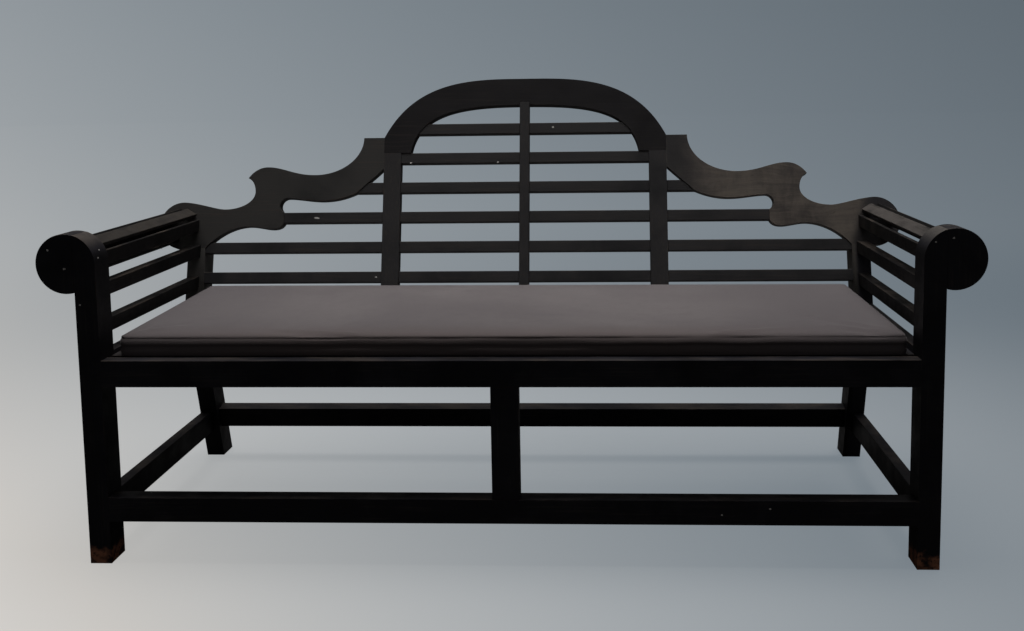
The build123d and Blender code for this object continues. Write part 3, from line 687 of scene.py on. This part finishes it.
PAD_LO, PAD_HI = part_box("seat_cushion")
PAD_QUADS = (150, 50, 12)   # along X, Y and Z
PAD_SHRINK = 0.0012         # the sewn shape before it is blown up
PAD_CORNER = 0.015
CROWN = 0.0035
CROWN_REACH = 0.06          # how far in from the edges the crown has risen
HEM = 0.0022                # how far the sewn edge itself is drawn in
HEM_REACH = 0.004
REAR_LIFT_LEFT, REAR_LIFT_RIGHT = 0.0078, 0.0048   # fuller at the back than the box
FRONT_SINK = 0.002
REAR_LEAN = 0.006           # its back edge rests against the leaning slats
RIGHT_FLARE = 0.006         # a little longer at its front right corner
FAR_END = (0.7, 1.0)        # the share of its depth or length that leans or flares
SWELL_FRAMES = 20
SWELL_EDGE, SWELL_MID = 0.0012, 0.0035   # how far the blown-up cover may move
SWELL_REACH = 0.10
LIE = 0.0002                # its underside, above the box's
FRONT_ROOM, BACK_ROOM = 0.004, 0.0015    # how far it may pass the box at its foot

# the border, as depths below its sewn top edge, how far in or out, and how wide
TOP_SEAM, TOP_SEAM_IN, TOP_SEAM_W = 0.0060, 0.0022, 0.0036
FOLD, FOLD_OUT, FOLD_EDGE, FOLD_END = 0.0195, 0.0030, 0.001, 0.004
FOLD_LOOSE, BELLY_LOOSE = (0.65, 0.7), (0.7, 0.8)    # their middle share, and its sway
CREASE, CREASE_IN, CREASE_W = FOLD + 0.006, 0.0012, 0.0028
BELLY, BELLY_OUT, BELLY_W = 0.034, 0.0016, 0.009
BASE_SEAM, BASE_SEAM_IN, BASE_SEAM_W = 0.0435, 0.0013, 0.0022
BORDER_FROM, BORDER_FULL = 0.3, 0.85     # shares of the corner's radius
WANDER, RUCK = 0.0018, 0.0014            # how far the seams stray up and down
WANDER_SCALE, RUCK_SCALE = 3.1, 11.0
WANDER_AT, RUCK_AT, FLOW_AT, SLACK_AT = (0.4, 2.0), (5.0, 1.0), 3.0, 6.0   # in the noise
END_SHIFT = 7.0                          # makes the ends' seams stray unlike the front's

# the top's puckers along its edges, and its slow sag
TOP_FROM = 0.012                         # points this close to the box's top
PUCKER, PUCKER_SCALE = 0.0012, 9.0
PUCKER_FROM, PUCKER_TO = (0.0, 0.03), (0.05, 0.16)
SAG, SAG_SCALE, SAG_FROM = 0.0015, (2.3, 4.1), (0.02, 0.12)

# creases that run in from a corner or edge: where they start, their direction and length
PULL_DEPTH, PULL_W = 0.0022, 0.010
PULL_SIDE, PULL_SIDE_W = 0.019, 0.012    # the hollow beside each crease
PULL_START, PULL_FADE = (-0.01, 0.04), 0.4
PULLS = (
    (0.800, FRONT + 0.055, math.radians(160), 0.16),
    (0.790, FRONT + 0.075, math.radians(140), 0.22),
    (-0.800, FRONT + 0.060, math.radians(25), 0.13),
    (0.42, FRONT + 0.045, math.radians(12), 0.20),
    (-0.30, FRONT + 0.045, math.radians(170), 0.24),
)

# the cushion's cloth, whose tones set in like those of the paint
THREADS = 1150.0            # per metre
SIDE_FACING, END_FACING = (0.72, 0.45), (0.6, 0.8)
SLUB_SCALE, FADE_SCALE, MOTTLE_SCALE, FUZZ_SCALE = (60.0, 900.0, 900.0), 2.1, 34.0, 620.0
CLOTH_DARK, CLOTH_LIGHT = (0.112, 0.100, 0.103), (0.142, 0.128, 0.129)
MOTTLED, MOTTLE_TONE = (0.46, 0.72, 0.0, 0.30), (0.088, 0.078, 0.078)
SLUBBED, SLUB_TONE = (0.55, 0.75, 0.0, 0.22), (0.19, 0.172, 0.168)
THREAD_GAP, GAP_TONE = (0.0, 0.5, 0.42, 0.0), (0.055, 0.048, 0.049)
# the front turns browner, and the ends are greyer than the middle
BROWNER_TO, BROWNER_FROM, BROWNER_RAGGED, BROWNER_TONE = 0.14, 0.05, 0.03, (0.088, 0.070, 0.068)
MIDDLE_X, ENDS_RAGGED, ENDS_TONE = -0.06, 0.2, (0.082, 0.073, 0.077)
ENDS_FROM, ENDS_TO, AREA_STRENGTH = 0.45, 0.95, 0.70
WEAVE_RELIEF = 0.6          # the weave's share of the relief; fuzz has the rest


def woven_cloth():
    """A plain weave with slubs, paler in the middle and browner along the front."""
    n = Finish("cushion_cloth_weave")
    place = n.coords()
    x, y, z = n.split(place)
    facing = n.split(n.normal())
    side = n.step(n.math("ABSOLUTE", facing[2]), *SIDE_FACING)
    end = n.math("MULTIPLY", side, n.step(n.math("ABSOLUTE", facing[0]), *END_FACING))

    def thread(value):
        return n.math("ABSOLUTE", n.math("SINE", n.math("MULTIPLY", value, THREADS * math.pi / 2)))

    across = n.add("ShaderNodeMix")
    n.put(across.inputs[0], side)
    n.put(across.inputs[2], thread(y))
    n.put(across.inputs[3], thread(z))
    along = n.add("ShaderNodeMix")
    n.put(along.inputs[0], end)
    n.put(along.inputs[2], thread(x))
    n.put(along.inputs[3], thread(y))
    weave = n.math("MULTIPLY", across.outputs[0], along.outputs[0])
    slubs = n.noise(n.scaled(place, SLUB_SCALE), detail=3.0, rough=0.6)
    fading = n.noise(place, FADE_SCALE, warp=0.3)
    mottle = n.noise(place, MOTTLE_SCALE, detail=5.0, rough=0.65)
    fuzz = n.noise(place, FUZZ_SCALE, detail=2.0, rough=0.6)
    tone = n.mix(n.step(fading, *PATCHED), CLOTH_DARK, CLOTH_LIGHT)
    tone = n.mix(n.step(mottle, *MOTTLED), tone, MOTTLE_TONE)
    tone = n.mix(n.step(slubs, *SLUBBED), tone, SLUB_TONE)
    tone = n.mix(n.step(weave, *THREAD_GAP), tone, GAP_TONE)
    front_browner = n.math("ADD", y, n.math("MULTIPLY", mottle, BROWNER_RAGGED))
    front_browner = n.step(front_browner, FRONT + BROWNER_TO, FRONT + BROWNER_FROM, 0.0, AREA_STRENGTH)
    tone = n.mix(front_browner, tone, BROWNER_TONE)
    ends = n.math("ABSOLUTE", n.math("SUBTRACT", x, MIDDLE_X))
    ends = n.math("ADD", ends, n.math("MULTIPLY", fading, ENDS_RAGGED))
    tone = n.mix(n.step(ends, ENDS_FROM, ENDS_TO, 0.0, AREA_STRENGTH), tone, ENDS_TONE)
    relief = n.math(
        "ADD", n.math("MULTIPLY", weave, WEAVE_RELIEF), n.math("MULTIPLY", fuzz, 1.0 - WEAVE_RELIEF)
    )
    lumps = n.bump(mottle, distance=0.0012, strength=0.35)
    n.set(
        Base_Color=tone,
        Roughness=0.92,
        Specular_IOR_Level=0.15,
        Sheen_Weight=0.12,
        Sheen_Roughness=0.45,
        Normal=n.bump(relief, distance=0.0005, strength=0.5, normal=lumps),
    )
    return n.mat


def bell(value, centre, width):
    """A smooth bump of height 1."""
    return math.exp(-(((value - centre) / width) ** 2))


def ramp(value, start, end):
    """A smooth step from 0 at start to 1 at end."""
    t = min(1.0, max(0.0, (value - start) / (end - start)))
    return t * t * (3.0 - 2.0 * t)


def lattice_box(name, counts, place):
    """A closed box of quads; place(u, v, w) puts its lattice points, each from 0 to 1."""
    nx, ny, nz = counts
    bm = bmesh.new()
    verts = {}

    def vert(i, j, k):
        if (i, j, k) not in verts:
            verts[i, j, k] = bm.verts.new(place(i / nx, j / ny, k / nz))
        return verts[i, j, k]

    for i in range(nx):
        for j in range(ny):
            bm.faces.new((vert(i, j, 0), vert(i, j + 1, 0), vert(i + 1, j + 1, 0), vert(i + 1, j, 0)))
            bm.faces.new((vert(i, j, nz), vert(i + 1, j, nz), vert(i + 1, j + 1, nz), vert(i, j + 1, nz)))
    for i in range(nx):
        for k in range(nz):
            bm.faces.new((vert(i, 0, k), vert(i + 1, 0, k), vert(i + 1, 0, k + 1), vert(i, 0, k + 1)))
            bm.faces.new((vert(i, ny, k), vert(i, ny, k + 1), vert(i + 1, ny, k + 1), vert(i + 1, ny, k)))
    for j in range(ny):
        for k in range(nz):
            bm.faces.new((vert(0, j, k), vert(0, j, k + 1), vert(0, j + 1, k + 1), vert(0, j + 1, k)))
            bm.faces.new((vert(nx, j, k), vert(nx, j + 1, k), vert(nx, j + 1, k + 1), vert(nx, j, k + 1)))
    mesh = bpy.data.meshes.new(name)
    bm.to_mesh(mesh)
    bm.free()
    obj = bpy.data.objects.new(name, mesh)
    scene.collection.objects.link(obj)
    return obj


def sewn_shape(u, v, w):
    """The cushion as cut and sewn: rounded corners, rolled edges, a low crown."""
    lo, hi = PAD_LO + Vector.Fill(3, PAD_SHRINK), PAD_HI - Vector.Fill(3, PAD_SHRINK)
    lo.z = PAD_LO.z
    x, y = lo.x + (hi.x - lo.x) * u, lo.y + (hi.y - lo.y) * v
    inner_x = min(max(x, lo.x + PAD_CORNER), hi.x - PAD_CORNER)
    inner_y = min(max(y, lo.y + PAD_CORNER), hi.y - PAD_CORNER)
    off = Vector((x - inner_x, y - inner_y))
    if off.x and off.y:
        off = off.normalized() * max(abs(off.x), abs(off.y))
        x, y = inner_x + off.x, inner_y + off.y
    rear_lift = REAR_LIFT_LEFT + (REAR_LIFT_RIGHT - REAR_LIFT_LEFT) * u
    top_z = hi.z + rear_lift * v - FRONT_SINK * (1.0 - v)
    z = lo.z + (top_z - lo.z) * w
    y += REAR_LEAN * w * ramp(v, *FAR_END)
    x += RIGHT_FLARE * ramp(u, *FAR_END) * (1.0 - v)
    if w == 1.0:
        near = min(x - lo.x, hi.x - x, y - lo.y, hi.y + REAR_LEAN - y)
        rise = 1.0 - min(1.0, max(0.0, near) / CROWN_REACH)
        z += CROWN * (1.0 - rise * rise)
        rim = HEM * (1.0 - min(1.0, max(0.0, near) / HEM_REACH))
        z -= rim
        x -= math.copysign(rim, x) * (u in (0.0, 1.0))
        y += rim * ((v == 0.0) - (v == 1.0))
    return x, y, z


def apply_modifiers(obj):
    """Makes the modifiers' result the object's mesh."""
    dg = bpy.context.evaluated_depsgraph_get()
    mesh = bpy.data.meshes.new_from_object(obj.evaluated_get(dg))
    obj.modifiers.clear()
    obj.data = mesh


def subdivide_once(obj):
    smooth = obj.modifiers.new("smooth", "SUBSURF")
    smooth.levels = smooth.render_levels = 1
    apply_modifiers(obj)


def blow_up(obj):
    """Lets the cover billow a little, then holds back how far each point may have gone."""
    before = [v.co.copy() for v in obj.data.vertices]
    cloth = obj.modifiers.new("cloth", "CLOTH")
    cloth.settings.quality = 4
    cloth.settings.mass = 0.25
    cloth.settings.tension_stiffness = 12
    cloth.settings.compression_stiffness = 9
    cloth.settings.shear_stiffness = 4
    cloth.settings.bending_stiffness = 0.4
    cloth.settings.use_pressure = True
    cloth.settings.uniform_pressure_force = 4.0
    cloth.settings.effector_weights.gravity = 0.0
    cloth.collision_settings.use_collision = False
    cloth.point_cache.frame_start, cloth.point_cache.frame_end = 1, SWELL_FRAMES
    for f in range(1, SWELL_FRAMES + 1):
        scene.frame_set(f)
    apply_modifiers(obj)
    scene.frame_set(1)
    for v, was in zip(obj.data.vertices, before):
        edge = min(was.x - PAD_LO.x, PAD_HI.x - was.x, was.y - PAD_LO.y, PAD_HI.y - was.y)
        cap = SWELL_EDGE + (SWELL_MID - SWELL_EDGE) * min(1.0, max(0.0, edge) / SWELL_REACH)
        move = v.co - was
        if move.length > cap:
            move *= cap / move.length
        v.co = was + move


def shape_border(obj):
    """Seam grooves, the loose fold under the top seam, and puckers of the cover."""
    lo, hi = PAD_LO, PAD_HI
    for v in obj.data.vertices:
        x, y, z = v.co
        out = Vector((
            x - min(max(x, lo.x + PAD_CORNER), hi.x - PAD_CORNER),
            y - min(max(y, lo.y + PAD_CORNER), hi.y - PAD_CORNER),
            0.0,
        ))
        reach = out.length / PAD_CORNER
        if reach > BORDER_FROM:
            out.normalize()
            along = x if abs(out.y) > abs(out.x) else y + END_SHIFT
            wander = noise.noise(Vector((along * WANDER_SCALE, *WANDER_AT)))
            ruck = noise.noise(Vector((along * RUCK_SCALE, *RUCK_AT)))
            depth = hi.z - FRONT_SINK - z + WANDER * wander + RUCK * ruck
            fold = FOLD_LOOSE[0] + FOLD_LOOSE[1] * wander
            fold *= ramp(depth, TOP_SEAM + FOLD_EDGE, FOLD - FOLD_EDGE)
            fold *= 1.0 - ramp(depth, FOLD, FOLD + FOLD_END)
            belly = BELLY_LOOSE[0] + BELLY_LOOSE[1] * ruck
            push = -TOP_SEAM_IN * bell(depth, TOP_SEAM, TOP_SEAM_W)
            push += FOLD_OUT * fold
            push -= CREASE_IN * bell(depth, CREASE, CREASE_W)
            push += BELLY_OUT * belly * bell(depth, BELLY, BELLY_W)
            push -= BASE_SEAM_IN * bell(depth, BASE_SEAM, BASE_SEAM_W)
            v.co += out * push * ramp(reach, BORDER_FROM, BORDER_FULL)
        if z > hi.z - TOP_FROM:
            edge_in = min(x - lo.x, hi.x - x, y - lo.y, hi.y - y)
            tug = ramp(edge_in, *PUCKER_FROM) * (1.0 - ramp(edge_in, *PUCKER_TO))
            flow = noise.noise(Vector((x * PUCKER_SCALE, y * PUCKER_SCALE, FLOW_AT)))
            slack = noise.noise(Vector((x * SAG_SCALE[0], y * SAG_SCALE[1], SLACK_AT)))
            v.co.z += PUCKER * tug * flow + SAG * slack * ramp(edge_in, *SAG_FROM)
            for cx, cy, turn, length in PULLS:
                dx, dy = x - cx, y - cy
                run = dx * math.cos(turn) + dy * math.sin(turn)
                off = -dx * math.sin(turn) + dy * math.cos(turn)
                near = ramp(run, *PULL_START) * (1.0 - ramp(run, length * PULL_FADE, length))
                rise = bell(off, 0.0, PULL_W) - bell(off, PULL_SIDE, PULL_SIDE_W)
                v.co.z += PULL_DEPTH * near * rise


def seat_the_pad(obj):
    """Flat where it lies on the slats, and clear of the back."""
    slope = math.tan(BACK_RAKE)
    for v in obj.data.vertices:
        v.co.z = max(v.co.z, PAD_LO.z + LIE)
        back_y = PAD_HI.y + BACK_ROOM + (v.co.z - PAD_LO.z) * slope
        v.co.y = min(max(v.co.y, PAD_LO.y - FRONT_ROOM), back_y)


# the cushion itself
cloth_finish = woven_cloth()
cushion = lattice_box("cushion_pad", PAD_QUADS, sewn_shape)
blow_up(cushion)
subdivide_once(cushion)
shape_border(cushion)
seat_the_pad(cushion)
cushion.data.materials.append(cloth_finish)
for face in cushion.data.polygons:
    face.use_smooth = True
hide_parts("seat_cushion")
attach(cushion, "cushion")

# --- sewn seams round the border, as thin corded welts that follow the cover -----------

WELT_R = 0.0008
WELT_SUNK = 0.5             # how far it sinks into the cover, as a share of its radius
SEAM_STEP = 0.006
CORNER_STEPS = 12
FROM_OUTSIDE = 0.02         # how far out the rays start that find the cover


def welt(name, below):
    """A welt round the cushion, this far below its box's top."""
    bm = bmesh.new()
    bm.from_mesh(cushion.data)
    tree = BVHTree.FromBMesh(bm)
    bm.free()
    z = PAD_HI.z - below
    lo, hi, r = PAD_LO, PAD_HI, PAD_CORNER
    outline = []
    corners = ((hi.x - r, lo.y + r, -90), (hi.x - r, hi.y - r, 0), (lo.x + r, hi.y - r, 90),
               (lo.x + r, lo.y + r, 180))
    for i, (cx, cy, start) in enumerate(corners):
        for k in range(CORNER_STEPS + 1):
            a = math.radians(start + 90 * k / CORNER_STEPS)
            outline.append(Vector((cx + r * math.cos(a), cy + r * math.sin(a), z)))
        a = math.radians(start + 90)
        nx, ny, _ = corners[(i + 1) % 4]
        here = outline[-1]
        there = Vector((nx + r * math.cos(a), ny + r * math.sin(a), z))
        count = int((there - here).length / SEAM_STEP)
        outline += [here.lerp(there, k / count) for k in range(1, count)]
    curve = bpy.data.curves.new(name, "CURVE")
    curve.dimensions = "3D"
    curve.bevel_depth = WELT_R
    curve.bevel_resolution = 2
    spline = curve.splines.new("POLY")
    spline.use_cyclic_u = True
    spline.points.add(len(outline) - 1)
    centre = Vector(((lo.x + hi.x) / 2, (lo.y + hi.y) / 2, z))
    for p, point in zip(outline, spline.points):
        inward = Vector((centre.x - p.x, centre.y - p.y, 0.0))
        if abs(p.x) < hi.x - r:
            inward.x = 0.0
        if lo.y + r < p.y < hi.y - r:
            inward.y = 0.0
        inward.normalize()
        hit, _, _, _ = tree.ray_cast(p - inward * FROM_OUTSIDE, inward)
        if hit is None:
            hit = p
        point.co = (*(hit + inward * WELT_R * WELT_SUNK), 1.0)
    obj = bpy.data.objects.new(name, curve)
    scene.collection.objects.link(obj)
    dg = bpy.context.evaluated_depsgraph_get()
    mesh = bpy.data.meshes.new_from_object(obj.evaluated_get(dg))
    bpy.data.objects.remove(obj)
    piece = bpy.data.objects.new(name, mesh)
    scene.collection.objects.link(piece)
    mesh.materials.clear()
    mesh.materials.append(cloth_finish)
    for face in mesh.polygons:
        face.use_smooth = True
    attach(piece, "cushion")


welt("cushion_seam_top", TOP_SEAM + FRONT_SINK)
welt("cushion_seam_low", BASE_SEAM)

bpy.context.view_layer.update()
